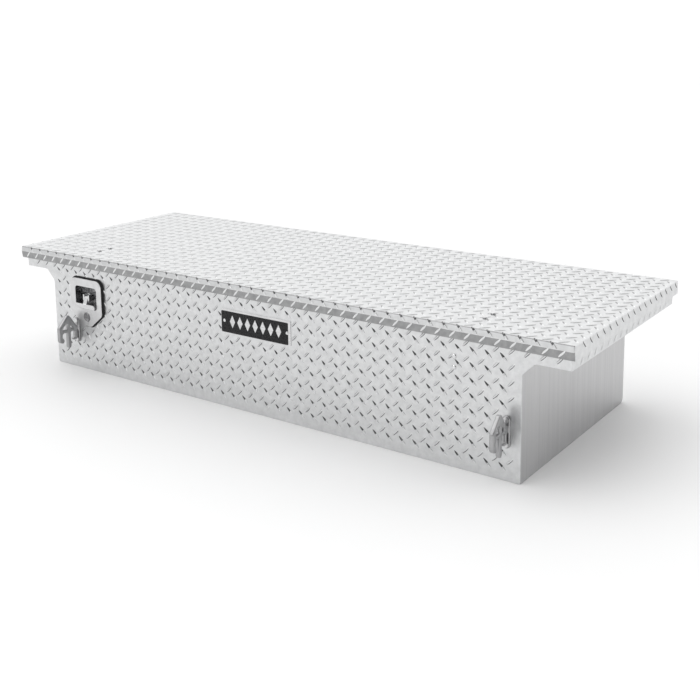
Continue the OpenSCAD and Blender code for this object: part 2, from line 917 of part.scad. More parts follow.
module spindle_cam() {
    a = 90 - cam_rest;
    tip = [lock_x + cam_r * cos(a), lock_z + cam_r * sin(a)];
    color("darkgray")
        difference() {
            union() {
                rod_y(lock_x, cam_y, cam_y + cam_t, lock_z, 12);
                translate([lock_x, 0, lock_z])
                    rotate([0, -a, 0])
                        block(0, cam_y, -6, cam_r, cam_y + cam_t, 6);
                rod_y(tip[0], cam_y, cam_y + cam_t, tip[1], 6);
                rod_y(tip[0], cam_y + cam_t, tab_y + tab_t + 2, tip[1], link_pin_r);
            }
            rod_y(lock_x, cam_y - 1, cam_y + cam_t + 1, lock_z, spindle_r);
        }
}

module spindle_nut() {
    color("silver")
        hex_nut(lock_x, cam_y + cam_t, lock_z, 10, spindle_r);
}

// ---------- latches ----------

// Side plate of a latch, with a notch that lets the striker bar in from above
module cheek(x, y0) {
    top = striker_z + 12;
    left = x - latch_back;
    right = x + latch_ahead;
    slab_xz(y0, cheek_t)
        polygon([
            [left, shelf_z + shelf_t], [right, shelf_z + shelf_t],
            [right, striker_z - 18], [x + 36, top], [x + 11, top],
            [x + 6, top - 8], [x + 6, striker_z - 5.5], [x - 6, striker_z - 5.5],
            [x - 6, top - 8], [x - 11, top], [x - 18, top], [left, striker_z - 6]
        ]);
}

module latch_base(x, flange_y, flange_x0, flange_z0) {
    cheek_front = claw_y - claw_t / 2 - rest_gap - cheek_t;
    cheek_rear = claw_y + claw_t / 2 + rest_gap;
    slot_front = cheek_front + cheek_t;
    rear = cheek_rear + cheek_t;
    shelf_top = shelf_z + shelf_t;
    pawl_x = x + pawl_dx;
    color("darkgray")
        difference() {
            union() {
                block(x - latch_back, flange_y, shelf_z, x + latch_ahead, rear, shelf_top);
                block(flange_x0, flange_y, flange_z0, x + latch_ahead, flange_y + backing_t, shelf_top);
                cheek(x, cheek_front);
                cheek(x, cheek_rear);
            }
            block(x - latch_back + 5, slot_front, shelf_z - 1, pawl_x + 20, cheek_rear, shelf_top + 1);
            rod_y(x + claw_dx, cheek_front - 1, rear + 1, striker_z + claw_dz, claw_pin_r);
            rod_y(pawl_x, cheek_front - 1, rear + 1, striker_z + pawl_dz, pawl_pin_r);
            for (z = latch_rivet_zs())
                rod_y(latch_rivet_x, front_in - 1, front_in + backing_t + 1, z, front_rivet_r);
            stud_holes(front_in + backing_t, backing_t, [stud_up]);
        }
}

module latch_base_left() {
    latch_base(left_striker_x, front_in + backing_t, lock_x - stud_x - 8, lock_z + stud_up - 7);
}

module latch_base_right() {
    latch_base(right_striker_x, front_in, latch_rivet_x - 10, shelf_z - 40);
}

module latch_pivots() {
    cheek_front = claw_y - claw_t / 2 - rest_gap - cheek_t;
    cheek_rear = claw_y + claw_t / 2 + rest_gap + cheek_t;
    color("silver")
        for (x = [left_striker_x, right_striker_x]) {
            rod_y(x + claw_dx, cheek_front, cheek_rear, striker_z + claw_dz, claw_pin_r);
            rod_y(x + claw_dx, cheek_rear, cheek_rear + 2, striker_z + claw_dz, claw_pin_r + 2);
            rod_y(x + pawl_dx, cheek_front, cheek_rear, striker_z + pawl_dz, pawl_pin_r);
            rod_y(x + pawl_dx, cheek_rear, cheek_rear + 2, striker_z + pawl_dz, pawl_pin_r + 2);
        }
}

module latch_rivets() {
    color("silver")
        for (z = latch_rivet_zs()) {
            rod_y(latch_rivet_x, front_y, front_in + backing_t, z, front_rivet_r);
            dome_y(latch_rivet_x, front_y, z, 6, 3);
            rod_y(latch_rivet_x, front_in + backing_t, front_in + backing_t + 2, z, 5);
        }
}

// Hook that swings over the striker bar; drawn open, clear of the bar's way out
module claw(x) {
    px = x + claw_dx;
    pz = striker_z + claw_dz;
    c = [px, pz];
    toe = 192;
    heel = 246;
    color("silver")
        difference() {
            union() {
                rod_y(px, claw_y - claw_t / 2, claw_y + claw_t / 2, pz, heel_r);
                slab_xz(claw_y - claw_t / 2, claw_t)
                    polygon(concat(
                        arc(c, claw_out_r, toe, heel, 8),
                        [c + heel_r * 0.6 * polar(heel + 20), c + heel_r * 0.6 * polar(toe + 20)],
                        arc(c, claw_in_r, heel - 22, toe, 5)
                    ));
            }
            rod_y(px, claw_y - claw_t, claw_y + claw_t, pz, claw_pin_r + run_gap);
        }
}

module claw_left() { claw(left_striker_x); }
module claw_right() { claw(right_striker_x); }

module pawl(x) {
    qx = x + pawl_dx;
    qz = striker_z + pawl_dz;
    tip_x = qx + rod_travel / 2;
    color("darkgray")
        difference() {
            union() {
                rod_y(qx, claw_y - claw_t / 2, claw_y + claw_t / 2, qz, 6);
                slab_xz(claw_y - claw_t / 2, claw_t)
                    polygon([
                        [qx - 5, qz], [tip_x - 5, slot_z], [tip_x + 5, slot_z], [qx + 5, qz],
                        [qx + 3, qz + 8], [qx - 2.2, qz + 9], [qx - 5.5, qz + 5.5]
                    ]);
                rod_y(tip_x, claw_y - claw_t / 2, claw_y + claw_t / 2, slot_z, 5);
                rod_y(tip_x, tab_y - 2, claw_y, slot_z, link_pin_r);
            }
            rod_y(qx, claw_y - claw_t, claw_y + claw_t, qz, pawl_pin_r + run_gap);
        }
}

module pawl_left() { pawl(left_striker_x); }
module pawl_right() { pawl(right_striker_x); }

// Round rod with a slotted tab under it at each pin that it drives or is driven by
module pull_rod() {
    tabs = [lock_x, left_striker_x + pawl_dx, right_striker_x + pawl_dx] + rod_travel / 2 * [1, 1, 1];
    half = link_pin_r + rest_gap;
    color("silver")
        difference() {
            union() {
                rod_x(tabs[0] - tab_w / 2, tabs[2] + tab_w / 2, pull_y, pull_z, pull_r);
                block(tabs[0] - tab_w / 2, tab_y, slot_z - 9, tabs[1] + tab_w / 2, tab_y + tab_t, pull_z);
                block(tabs[2] - tab_w / 2, tab_y, slot_z - 9, tabs[2] + tab_w / 2, tab_y + tab_t, pull_z);
            }
            for (x = tabs)
                slab_xz(tab_y - 1, tab_t + 2)
                    polygon(rounded(
                        middle_rect(x, slot_z, 2 * half, 2 * (half + slot_slack)),
                        [2, 2, 2, 2]
                    ));
        }
}

function guide_xs() = [for (share = [0.3, 0.7]) lock_x + share * (right_striker_x - lock_x)];

module rod_guides() {
    color("#303030")
        for (x = guide_xs())
            difference() {
                union() {
                    block(x - 7, front_in, pull_z - 8, x + 7, pull_y + 8, pull_z + 8);
                    block(x - 20, front_in, pull_z - 14, x + 20, front_in + 3, pull_z + 10);
                }
                rod_x(x - 8, x + 8, pull_y, pull_z, pull_r + run_gap);
            }
}

// ---------- fittings ----------

// Outline of the hook in Y and Z: each corner is [distance from the wall, height, radius]
module hook_profile(corners) {
    polygon(rounded(
        [for (c = corners) [front_y - c[0], c[1]]],
        [for (c = corners) c[2]]
    ));
}

// Cast hook: a post and an outer prong that both point down, and a small keeper near the wall
module tie_down_hook(x) {
    top = hook_z + 25;
    mid = hook_z - 22;
    tip = hook_z - 50;
    foot = tip - 25;
    post = [post_off - hook_bar / 2, post_off + hook_bar / 2];
    prong = [prong_off - hook_bar / 2, prong_off + hook_bar / 2];
    web = 4.5;
    keeper = [8.5, 16.5, 23];
    color("silver")
        difference() {
            union() {
                slab_xz(front_y - hook_base_t, hook_base_t)
                    polygon(rounded(
                        middle_rect(x, hook_z - hook_bolt_gap / 2, hook_base_w, hook_bolt_gap + hook_base_w),
                        [9, 9, 9, 9]
                    ));
                slab_yz(x - hook_t / 2, hook_t)
                    difference() {
                        hook_profile([
                            [hook_base_t - 1, mid - web, 0], [keeper[0], mid - web, 1],
                            [keeper[0], tip - 5, 5], [keeper[2], tip - 5, 4], [keeper[2], tip + 3, 2],
                            [keeper[1], tip + 3, 1], [keeper[1], mid - web, 3],
                            [post[0], mid - web, 3], [post[0], foot, 6], [post[1], foot, 6],
                            [post[1], mid - web, 7], [prong[0], mid - web, 7],
                            [prong[0], tip + 8, 3], [prong[0] - 7, tip + 2, 3], [prong[0] - 3, tip - 7, 4],
                            [prong[1], tip - 2, 9], [prong[1], mid + 13, 8],
                            [post[1] - 3, top, 6], [post[0] + 1, top - 4, 4],
                            [keeper[0], mid + 7, 2], [hook_base_t - 1, mid + 7, 0]
                        ]);
                        hook_profile([
                            [post[1], mid + web, 3], [prong[0], mid + web, 1.5],
                            [prong[0], mid + web + 3.5, 1], [post[1], mid + 25, 2.5]
                        ]);
                        hook_profile([
                            [keeper[1] + 4, mid + web, 1.5],
                            [post[0], mid + web, 2.5],
                            [post[0], mid + 19, 1.5]
                        ]);
                    }
            }
            for (z = hook_bolt_zs())
                rod_y(x, front_y - hook_base_t - 1, front_y + 1, z, hook_bolt_r);
        }
}

module tie_down_hook_left() { tie_down_hook(hook_xs()[0]); }
module tie_down_hook_right() { tie_down_hook(hook_xs()[1]); }

module hook_bolts() {
    head_y = front_y - hook_base_t;
    color("silver")
        for (x = hook_xs())
            for (z = hook_bolt_zs()) {
                rod_y(x, head_y, front_in + 8, z, hook_bolt_r);
                rod_y(x, head_y - 2.5, head_y, z, hook_bolt_r + 3);
                hex_nut(x, front_in, z, 7.5, hook_bolt_r);
            }
}

module badge_plate() {
    color("#101010")
        difference() {
            slab_xz(front_y - badge_t, badge_t)
                polygon(rounded(middle_rect(badge_x, badge_z, badge_w, badge_h), [2, 2, 2, 2]));
            for (x = badge_rivet_xs())
                rod_y(x, front_y - badge_t - 1, front_y + 1, badge_z, front_rivet_r);
        }
}

module badge_rivets() {
    color("silver")
        for (x = badge_rivet_xs()) {
            rod_y(x, front_y - badge_t, front_in, badge_z, front_rivet_r);
            dome_y(x, front_y - badge_t, badge_z, 4.5, 2);
            rod_y(x, front_in, front_in + 1.5, badge_z, 4);
        }
}

front_panel();
rear_panel();
floor_panel();
left_end_panel();
right_end_panel();
left_wing();
right_wing();
rear_rail();
opening_frame();
lid_seal();
hinge_leaf_box();
hinge_pin();
hinge_rivets_box();
strut_foot_left();
strut_foot_right();
lock_pan();
lock_gasket();
lock_backing_plate();
lock_nuts();
latch_base_left();
latch_base_right();
latch_pivots();
latch_rivets();
rod_guides();
tie_down_hook_left();
tie_down_hook_right();
hook_bolts();
badge_plate();
badge_rivets();
lid_skin();
lid_stiffeners();
hinge_leaf_lid();
hinge_rivets_lid();
striker_left();
striker_right();
striker_bolts();
strut_head_left();
strut_head_right();
strut_barrel_left();
strut_barrel_right();
strut_rod_left();
strut_rod_right();
lock_spindle();
spindle_cam();
spindle_nut();
handle_pin();
t_handle();
key_plug();
key_cam();
pull_rod();
pawl_left();
pawl_right();
claw_left();
claw_right();
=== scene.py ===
import math
import bmesh
import bpy
from mathutils import Matrix, Vector


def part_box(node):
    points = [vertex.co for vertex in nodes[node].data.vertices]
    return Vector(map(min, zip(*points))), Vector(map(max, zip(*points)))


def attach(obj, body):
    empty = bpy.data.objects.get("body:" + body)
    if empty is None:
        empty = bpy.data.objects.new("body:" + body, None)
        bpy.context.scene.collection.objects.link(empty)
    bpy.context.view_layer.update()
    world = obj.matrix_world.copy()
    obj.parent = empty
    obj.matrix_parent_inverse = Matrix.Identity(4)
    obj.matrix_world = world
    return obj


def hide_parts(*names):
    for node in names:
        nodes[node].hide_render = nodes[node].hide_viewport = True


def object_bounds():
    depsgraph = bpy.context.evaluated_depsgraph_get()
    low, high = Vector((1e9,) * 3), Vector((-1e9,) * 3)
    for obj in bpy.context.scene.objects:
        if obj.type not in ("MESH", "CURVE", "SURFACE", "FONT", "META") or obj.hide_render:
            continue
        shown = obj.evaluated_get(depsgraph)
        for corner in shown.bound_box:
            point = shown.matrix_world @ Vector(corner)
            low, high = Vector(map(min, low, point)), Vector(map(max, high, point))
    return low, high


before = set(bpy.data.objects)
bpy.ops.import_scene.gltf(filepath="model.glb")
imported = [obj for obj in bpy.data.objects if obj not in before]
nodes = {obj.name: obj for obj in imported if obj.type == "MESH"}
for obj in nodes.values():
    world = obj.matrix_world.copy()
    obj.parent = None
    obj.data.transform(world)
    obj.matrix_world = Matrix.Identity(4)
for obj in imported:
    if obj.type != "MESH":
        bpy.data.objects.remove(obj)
cad_low, cad_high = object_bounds()

# ---------- front sheet ----------
# One flat T of bright rolled aluminium tread plate, 3.2 mm thick. It closes the tub and both wings,
# and it is welded to them behind. Short raised treads run over it in two crossed directions.

tread_length = 0.029
tread_width = 0.0062
tread_height = 0.0015
tread_pitch_x = 0.0373
tread_pitch_y = 0.036


def new_material(name):
    material = bpy.data.materials.new(name)
    material.use_nodes = True
    tree = material.node_tree
    shader = tree.nodes["Principled BSDF"]
    place = tree.nodes.new("ShaderNodeTexCoord").outputs["Object"]
    return material, tree, shader, place


def stretched_noise(tree, place, stretch, size, detail=3.0, roughness=0.6):
    mapping = tree.nodes.new("ShaderNodeMapping")
    mapping.inputs["Scale"].default_value = stretch
    tree.links.new(place, mapping.inputs["Vector"])
    noise = tree.nodes.new("ShaderNodeTexNoise")
    noise.inputs["Scale"].default_value = size
    noise.inputs["Detail"].default_value = detail
    noise.inputs["Roughness"].default_value = roughness
    tree.links.new(mapping.outputs["Vector"], noise.inputs["Vector"])
    return noise.outputs["Fac"]


def ramp_between(tree, factor, low, high, start=0.3, end=0.7):
    ramp = tree.nodes.new("ShaderNodeValToRGB")
    ramp.color_ramp.elements[0].position = start
    ramp.color_ramp.elements[1].position = end
    ramp.color_ramp.elements[0].color = (*low, 1)
    ramp.color_ramp.elements[1].color = (*high, 1)
    tree.links.new(factor, ramp.inputs["Fac"])
    return ramp.outputs["Color"]


def range_between(tree, factor, low, high, start=0.25, end=0.75):
    span = tree.nodes.new("ShaderNodeMapRange")
    span.inputs["From Min"].default_value = start
    span.inputs["From Max"].default_value = end
    span.inputs["To Min"].default_value = low
    span.inputs["To Max"].default_value = high
    tree.links.new(factor, span.inputs["Value"])
    return span.outputs["Result"]


def metal(
    name, dark, light, rough_low, rough_high, streak=(1, 1, 1), size=40, grain=600, bump=0.05, metallic=1.0
):
    material, tree, shader, place = new_material(name)
    shader.inputs["Metallic"].default_value = metallic
    broad = stretched_noise(tree, place, streak, size)
    fine = stretched_noise(tree, place, streak, grain, detail=2.0)
    tree.links.new(ramp_between(tree, broad, dark, light), shader.inputs["Base Color"])
    tree.links.new(range_between(tree, fine, rough_low, rough_high), shader.inputs["Roughness"])
    relief = tree.nodes.new("ShaderNodeBump")
    relief.inputs["Strength"].default_value = bump
    relief.inputs["Distance"].default_value = 0.0004
    tree.links.new(fine, relief.inputs["Height"])
    tree.links.new(relief.outputs["Normal"], shader.inputs["Normal"])
    return material


tread_plate = metal(
    "bright_tread_plate", (0.62, 0.625, 0.63), (0.72, 0.725, 0.73), 0.3, 0.42, size=60, grain=420, bump=0.08
)
# Painted shade and painted highlight: one side of each tread is coloured dark as if turned from the light,
# and the other side light as if catching it.
shade_flank = metal(
    "painted_shade_flank", (0.05, 0.05, 0.052), (0.15, 0.15, 0.153), 0.26, 0.38, size=90, grain=420
)
highlight_crest = metal(
    "painted_highlight_crest", (0.74, 0.745, 0.75), (0.84, 0.845, 0.85), 0.26, 0.36, size=90, grain=420
)
plate_slot, shade_slot, highlight_slot = 0, 1, 2
tread_root = 0.0001


def tread_shape(lean, shaded, lit):
    bm = bmesh.new()
    bmesh.ops.create_grid(bm, x_segments=6, y_segments=4, size=1)
    for v in bm.verts:
        along, across = v.co.x, v.co.y
        v.co.x = tread_length / 2 * along
        v.co.y = tread_width / 2 * across * (1 - along * along) ** 0.75
        crown = (1 - abs(across) ** 2.4) * (1 - abs(along) ** 3)
        v.co.z = (tread_height + tread_root) * crown - tread_root
    bmesh.ops.remove_doubles(bm, verts=bm.verts, dist=1e-6)
    for face in bm.faces:
        middle = face.calc_center_median()
        along, across = 2 * middle.x / tread_length, 2 * middle.y / tread_width
        face.material_index = (
            shade_slot if shaded(along, across) else highlight_slot if lit(along, across) else plate_slot
        )
    bmesh.ops.rotate(bm, verts=bm.verts, matrix=Matrix.Rotation(lean, 3, "Z"))
    mesh = bpy.data.meshes.new("tread")
    bm.to_mesh(mesh)
    bm.free()
    return mesh


# Each tread's faces get the plate colour, a painted shade side or a painted highlight side.
rising_tread = tread_shape(
    math.radians(45),
    lambda along, across: across < -0.3 and abs(along) < 0.6,
    lambda along, across: across > 0.3,
)
falling_tread = tread_shape(
    math.radians(-45),
    lambda along, across: along < 0,
    lambda along, across: along > 0.2 and across < 0.3,
)


def lay_treads(bm, columns, rows, rising_start, falling_start, wanted):
    for shape, (x0, y0) in ((rising_tread, rising_start), (falling_tread, falling_start)):
        for i in range(columns):
            for k in range(rows):
                x, y = x0 + i * tread_pitch_x, y0 + k * tread_pitch_y
                if wanted(x, y):
                    first = len(bm.verts)
                    bm.from_mesh(shape)
                    bm.verts.ensure_lookup_table()
                    bmesh.ops.translate(bm, verts=bm.verts[first:], vec=(x, y, 0))


def finished(name, bm, material, body, replaced=(), smooth=True):
    mesh = bpy.data.meshes.new(name)
    for face in bm.faces:
        face.smooth = smooth
    for edge in bm.edges:
        edge.smooth = edge.is_manifold and edge.calc_face_angle(math.pi) < math.radians(40)
    bm.to_mesh(mesh)
    bm.free()
    piece = bpy.data.objects.new(name, mesh)
    bpy.context.scene.collection.objects.link(piece)
    mesh.materials.append(material)
    # Tread-plate pieces also carry the treads' painted shade and painted highlight colours.
    if material == tread_plate:
        mesh.materials.append(shade_flank)
        mesh.materials.append(highlight_crest)
    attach(piece, body)
    if replaced:
        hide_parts(*replaced)
    return piece


def merged_copy(node):
    bm = bmesh.new()
    bm.from_mesh(nodes[node].data)
    bmesh.ops.remove_doubles(bm, verts=bm.verts, dist=1e-6)
    bmesh.ops.dissolve_limit(bm, angle_limit=math.radians(0.5), verts=bm.verts, edges=bm.edges)
    return bm


def add_bm(target, source):
    mesh = bpy.data.meshes.new("part")
    source.to_mesh(mesh)
    source.free()
    target.from_mesh(mesh)
    bpy.data.meshes.remove(mesh)


def weighted(piece):
    piece.modifiers.new("even_shading", "WEIGHTED_NORMAL").keep_sharp = True
    return piece


front_low, front_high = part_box("front_panel")
tub_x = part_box("left_end_panel")[0].x
wing_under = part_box("left_wing")[0].z
pan_low, pan_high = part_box("lock_pan")
badge_low, badge_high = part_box("badge_plate")
hook_boxes = [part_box("tie_down_hook_left"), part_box("tie_down_hook_right")]
pan_middle = (pan_low.x + pan_high.x) / 2
reach = 0.0102
plain_edge = 0.006
lower_edge = 0.0024
wing_end_edge = 0.004
wing_lower_edge = 0.003
upper_edge = 0.002
pan_gap = 0.002
pan_point_rise = 0.012
pan_point_half = 0.03
pan_point_slope = 0.9
hook_cover = 0.001


def on_front(x, z):
    inside_tub = abs(x) < -tub_x - plain_edge - reach and z > lower_edge + reach
    inside_wing = abs(x) < front_high.x - wing_end_edge - reach and z > wing_under + wing_lower_edge + reach
    if not (inside_tub or inside_wing) or z > front_high.z - upper_edge - reach:
        return False
    beside_pan = pan_low.x - pan_gap < x < pan_high.x + pan_gap
    if beside_pan and pan_low.z + pan_point_rise < z < pan_high.z + pan_gap:
        return abs(x - pan_middle) > pan_point_half + (z - pan_low.z) * pan_point_slope
    if badge_low.x < x < badge_high.x and badge_low.z < z < badge_high.z:
        return False
    return not any(
        low.x + hook_cover < x < high.x - hook_cover and low.z < z < high.z for low, high in hook_boxes
    )


front = merged_copy("front_panel")
front_treads = bmesh.new()
front_rising_start = (front_low.x + 0.010, 0.011)
front_falling_start = (front_low.x + 0.0287, 0.031)
lay_treads(front_treads, 47, 10, front_rising_start, front_falling_start, on_front)
stand_up = Matrix(((1, 0, 0), (0, 0, -1), (0, 1, 0)))
bmesh.ops.rotate(front_treads, verts=front_treads.verts, matrix=stand_up)
bmesh.ops.translate(front_treads, verts=front_treads.verts, vec=(0, front_low.y, 0))
add_bm(front, front_treads)
weighted(finished("front_sheet", front, tread_plate, "box", ["front_panel"]))

# ---------- rear sheet and wings ----------
# The tub's rear wall, the two wings and the rear rail are the same tread plate, folded and welded.
# Only the outer faces carry treads.

rear_low, rear_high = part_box("rear_panel")
rear = merged_copy("rear_panel")
rear_treads = bmesh.new()
rear_rising_start = (rear_low.x + 0.02, 0.014)
rear_falling_start = (rear_low.x + 0.0387, 0.032)
lay_treads(
    rear_treads, 42, 9, rear_rising_start, rear_falling_start,
    lambda x, z: abs(x) < rear_high.x - plain_edge - reach and reach < z < rear_high.z - reach,
)
bmesh.ops.rotate(rear_treads, verts=rear_treads.verts, matrix=stand_up)
bmesh.ops.rotate(rear_treads, verts=rear_treads.verts, matrix=Matrix.Rotation(math.pi, 3, "Z"))
bmesh.ops.translate(rear_treads, verts=rear_treads.verts, vec=(0, rear_high.y, 0))
add_bm(rear, rear_treads)
weighted(finished("rear_sheet", rear, tread_plate, "box", ["rear_panel"]))

for side, node in ((-1, "left_wing"), (1, "right_wing")):
    low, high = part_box(node)
    wing = merged_copy(node)
    wing_treads = bmesh.new()
    wing_rising_start = (low.y + 0.01, low.z + 0.0115)
    wing_falling_start = (low.y + 0.0287, low.z + 0.0295)
    lay_treads(
        wing_treads, 18, 2, wing_rising_start, wing_falling_start,
        lambda y, z: low.y + reach < y < high.y - reach and low.z + reach < z < high.z - reach,
    )
    bmesh.ops.rotate(wing_treads, verts=wing_treads.verts, matrix=stand_up)
    bmesh.ops.rotate(wing_treads, verts=wing_treads.verts, matrix=Matrix.Rotation(side * math.pi / 2, 3, "Z"))
    if side < 0:
        bmesh.ops.scale(wing_treads, verts=wing_treads.verts, vec=(1, -1, 1))
        bmesh.ops.reverse_faces(wing_treads, faces=wing_treads.faces)
    bmesh.ops.translate(wing_treads, verts=wing_treads.verts, vec=(high.x if side > 0 else low.x, 0, 0))
    add_bm(wing, wing_treads)
    weighted(finished(node + "_sheet", wing, tread_plate, "box", [node]))


def coat(material, *names):
    for name in names:
        nodes[name].data.materials.clear()
        nodes[name].data.materials.append(material)


coat(tread_plate, "rear_rail")

# ---------- end panels, floor, opening frame and lid stiffeners ----------
# Plain mill-finish aluminium sheet with faint rolling streaks, upright on the end panels. The floor and the
# ends are welded into the tub, the frame is folded round the opening, and the stiffeners sit under the lid.

mill_sheet = metal(
    "mill_finish_sheet", (0.52, 0.52, 0.525), (0.58, 0.58, 0.585), 0.34, 0.46,
    streak=(90, 60, 1), size=2.4, grain=90, bump=0.04,
)
inner_sheet = metal(
    "inner_sheet", (0.60, 0.60, 0.605), (0.72, 0.72, 0.725), 0.34, 0.5,
    streak=(1, 14, 14), size=3, grain=60, bump=0.03,
)
coat(mill_sheet, "left_end_panel", "right_end_panel")
coat(inner_sheet, "floor_panel", "opening_frame", "lid_stiffeners")

# ---------- lid ----------
# One tread-plate pan: the top folded down into a skirt on four sides, its front skirt creased along its
# length so that it stands out a little. The treads run on over the folds.

lid_low, lid_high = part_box("lid_skin")
crease_z = lid_high.z - 0.0155
lid_low += Vector((tread_height, tread_height, 0))
lid_high -= Vector((tread_height, tread_height, tread_height))
sheet = 0.0032 - tread_height
crease_in = 0.0025
fold_r = 0.0024
crease_bevel = 0.0016
near = 0.001
lid = bmesh.new()
bmesh.ops.create_cube(lid, size=1)
bmesh.ops.scale(lid, verts=lid.verts, vec=lid_high - lid_low)
bmesh.ops.translate(lid, verts=lid.verts, vec=(lid_low + lid_high) / 2)
bmesh.ops.delete(lid, geom=[f for f in lid.faces if f.normal.z < -0.5], context="FACES_ONLY")
bmesh.ops.bisect_plane(
    lid, geom=lid.verts[:] + lid.edges[:] + lid.faces[:], plane_co=(0, 0, crease_z), plane_no=(0, 0, 1)
)
for v in lid.verts:
    if v.co.y < lid_low.y + near and abs(v.co.z - crease_z) > near:
        v.co.y += crease_in
lid.normal_update()
folds = [e for e in lid.edges if len(e.link_faces) == 2 and e.calc_face_angle() > math.radians(60)]
bmesh.ops.bevel(lid, geom=folds, offset=fold_r, segments=4, profile=0.5, affect="EDGES", material=-1)
creases = [
    e for e in lid.edges
    if len(e.link_faces) == 2
    and all(abs(v.co.z - crease_z) < near / 10 and v.co.y < lid_low.y + near for v in e.verts)
]
bmesh.ops.bevel(lid, geom=creases, offset=crease_bevel, segments=3, profile=0.5, affect="EDGES", material=-1)
bmesh.ops.recalc_face_normals(lid, faces=lid.faces)
bmesh.ops.solidify(lid, geom=lid.faces[:], thickness=sheet)
bmesh.ops.recalc_face_normals(lid, faces=lid.faces)


def folded(distance, height, bends):
    out, down, heading, done = 0.0, 0.0, 0.0, 0.0
    for start, radius, turn in bends:
        step = min(distance, start) - done
        out += step * math.cos(heading)
        down += step * math.sin(heading)
        done += step
        if distance <= start:
            break
        angle = min((distance - start) / radius, turn)
        out += radius * (math.sin(heading + angle) - math.sin(heading))
        down += radius * (math.cos(heading) - math.cos(heading + angle))
        heading += angle
        done += angle * radius
        if angle < turn:
            break
    out += (distance - done) * math.cos(heading)
    down += (distance - done) * math.sin(heading)
    return out + height * math.sin(heading), down - height * math.cos(heading)


first_turn = math.atan2(lid_high.z - crease_z, crease_in)
front_tangent = fold_r * math.tan(first_turn / 2)
front_line = lid_low.y + crease_in + front_tangent
crease_lead = 0.0005
crease_r = 0.003
crease_start = fold_r * first_turn + lid_high.z - crease_z - crease_lead - front_tangent
front_bends = [(0.0, fold_r, first_turn), (crease_start, crease_r, 2 * (math.pi / 2 - first_turn))]
square_bend = [(0.0, fold_r, math.pi / 2)]
skirt = lid_high.z - lid_low.z
front_end = fold_r * first_turn + skirt - front_tangent
square_end = fold_r * math.pi / 2 + skirt - fold_r
side_line = lid_high.x - fold_r
rear_line = lid_high.y - fold_r
corner_clear = 0.012


def on_lid(x, y):
    past_front = front_line - y
    past_side = abs(x) - side_line
    past_rear = y - rear_line
    corner = past_side > -corner_clear and (past_front > -corner_clear or past_rear > -corner_clear)
    return not corner and past_rear < square_end - reach and past_side < square_end - reach


lid_treads = bmesh.new()
first_row = front_line - 0.0429
first_column = -25 * tread_pitch_x
lay_treads(
    lid_treads, 51, 22,
    (first_column, first_row + tread_pitch_y / 2), (first_column + tread_pitch_x / 2, first_row), on_lid,
)
bmesh.ops.bisect_plane(
    lid_treads, geom=lid_treads.verts[:] + lid_treads.edges[:] + lid_treads.faces[:],
    plane_co=(0, front_line - front_end, 0), plane_no=(0, -1, 0), clear_outer=True,
)
for v in lid_treads.verts:
    x, y, height = v.co
    if y < front_line:
        out, down = folded(front_line - y, height, front_bends)
        v.co = (x, front_line - out, lid_high.z - down)
    elif y > rear_line:
        out, down = folded(y - rear_line, height, square_bend)
        v.co = (x, rear_line + out, lid_high.z - down)
    elif abs(x) > side_line:
        out, down = folded(abs(x) - side_line, height, square_bend)
        v.co = (math.copysign(side_line + out, x), y, lid_high.z - down)
    else:
        v.co = (x, y, lid_high.z + height)
plain_faces = len(lid.faces)
add_bm(lid, lid_treads)
lid_sheet = weighted(finished("lid_sheet", lid, tread_plate, "lid", ["lid_skin"]))
# Painted shade: the front skirt's lower band and the front fold are coloured darker as if in shade, and the
# tread flanks on the lid's top get a softer painted shade.
skirt_band_shade = metal(
    "painted_shade_skirt_band", (0.27, 0.272, 0.275), (0.37, 0.372, 0.375), 0.3, 0.42, size=60, grain=420, bump=0.06
)
soft_shade_flank = metal(
    "soft_painted_shade_flank", (0.30, 0.302, 0.305), (0.42, 0.422, 0.425), 0.26, 0.38, size=90, grain=420
)
lid_sheet.data.materials.append(skirt_band_shade)
lid_sheet.data.materials.append(soft_shade_flank)
skirt_shade_slot, soft_shade_slot = 3, 4
skirt_depth = 0.008
fold_slant = 0.25
# Painted highlight on the treads inside the shaded band, and painted shade on the band, the front fold and
# the upper tread flanks.
for face in lid_sheet.data.polygons:
    spot, facing = face.center, face.normal
    shaded_band = spot.z < crease_z - crease_lead and spot.y < lid_low.y + skirt_depth
    shaded_fold = facing.y < -fold_slant and facing.z > fold_slant and spot.z > lid_high.z - fold_r
    if shaded_band and face.index >= plain_faces:
        face.material_index = highlight_slot
    elif (shaded_band or shaded_fold) and face.material_index == plate_slot:
        face.material_index = skirt_shade_slot
    elif face.material_index == shade_slot and spot.z > lid_high.z - crease_lead:
        face.material_index = soft_shade_slot

# ---------- lid seal and lock gasket ----------
# Two mouldings in black rubber, dulled by handling. The seal is stuck to the opening's lip, and the gasket is
# squeezed between the front sheet and the lock's pan.

rubber, tree, shader, place = new_material("black_rubber")
worn = stretched_noise(tree, place, (1, 1, 1), 120)
rubber_black = ramp_between(tree, worn, (0.012, 0.012, 0.012), (0.04, 0.04, 0.042))
tree.links.new(rubber_black, shader.inputs["Base Color"])
tree.links.new(range_between(tree, worn, 0.55, 0.8), shader.inputs["Roughness"])


def eased(name, node, width, material, body, segments=2, sharper_than=35):
    bm = merged_copy(node)
    edges = [e for e in bm.edges if e.is_manifold and e.calc_face_angle() > math.radians(sharper_than)]
    bmesh.ops.bevel(
        bm, geom=edges, offset=width, segments=segments, profile=0.5, affect="EDGES", material=-1,
        clamp_overlap=True,
    )
    return weighted(finished(name, bm, material, body, [node]))


for node, width in (("lid_seal", 0.0025), ("lock_gasket", 0.0005)):
    eased(node + "_rubber", node, width, rubber, "box", segments=3)
